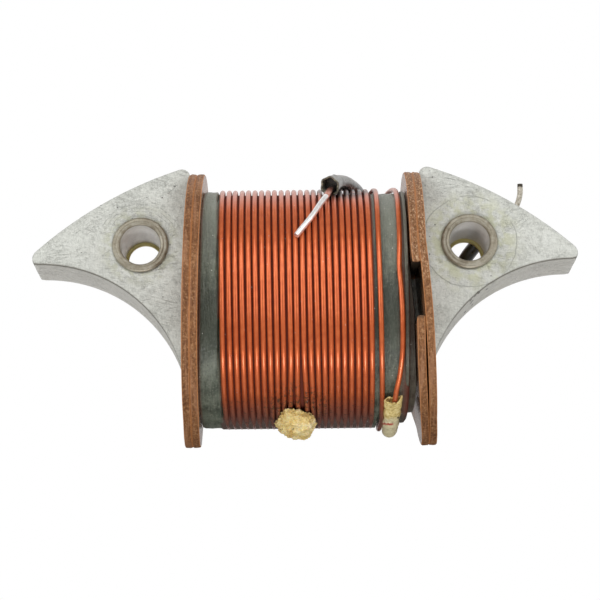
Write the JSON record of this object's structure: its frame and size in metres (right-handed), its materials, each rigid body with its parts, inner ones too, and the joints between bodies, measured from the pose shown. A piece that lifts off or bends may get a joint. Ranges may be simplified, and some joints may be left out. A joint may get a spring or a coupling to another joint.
{
  "type": "ignition coil",
  "caption": "Laminated iron armature with two curved pole wings and riveted screw holes, wound with red enamelled wire between brown hard-paper cheeks.",
  "frame": {"origin": "midway between the two screw holes, on the plane that the rivets' back rims sit on", "axes": "+X along the coil's axis, +Y towards the convex pole side, +Z out of the face that the screw heads sit on"},
  "size_m": [0.0716, 0.0368, 0.0381],
  "materials": {
    "lamination_steel": "dull zinc grey, scratched and lightly stained",
    "rivet": "tarnished, brownish",
    "hard_paper": "brown resin-bonded paper, speckled, matt edges",
    "winding_paper": "tan insulating paper",
    "fine_wire": "fine enamelled wire, reddish brown",
    "varnished_cloth": "dark grey-green varnished cloth tape, satin",
    "enamelled_wire": "red-orange enamel over copper, glossy",
    "cream_sleeve": "cream woven sleeve",
    "wax": "yellowish wax, crumpled",
    "dark_sleeve": "black varnished sleeving, glossy",
    "tinned_wire": "bright tinned copper"
  },
  "bodies": {
    "root": {"core_lamination_01": "lamination_steel", "core_lamination_02": "lamination_steel", "core_lamination_03": "lamination_steel", "core_lamination_04": "lamination_steel", "core_lamination_05": "lamination_steel", "core_lamination_06": "lamination_steel", "core_lamination_07": "lamination_steel", "core_lamination_08": "lamination_steel", "core_lamination_09": "lamination_steel", "core_lamination_10": "lamination_steel", "mounting_rivet_left": "rivet", "mounting_rivet_right": "rivet", "cheek_left_outer": "hard_paper", "cheek_left_inner": "hard_paper", "cheek_right_outer": "hard_paper", "cheek_right_inner": "hard_paper", "core_leg_insulation": "winding_paper", "inner_winding": "fine_wire", "inner_winding_paper": "winding_paper", "varnished_cloth_wrap": "varnished_cloth", "wrap_rolled_edge": "varnished_cloth", "wrap_end_flap": "varnished_cloth", "outer_winding": "enamelled_wire", "outer_winding_end_turn": "enamelled_wire", "finish_lead_wire": "enamelled_wire", "start_lead_wire": "enamelled_wire", "cream_lead_sleeve": "cream_sleeve", "wax_seal": "wax", "start_lead_sleeve": "dark_sleeve", "rear_lead_sleeve": "dark_sleeve", "start_lead_tinned_end": "tinned_wire", "rear_lead_wire": "tinned_wire"}
  },
  "joints": []
}
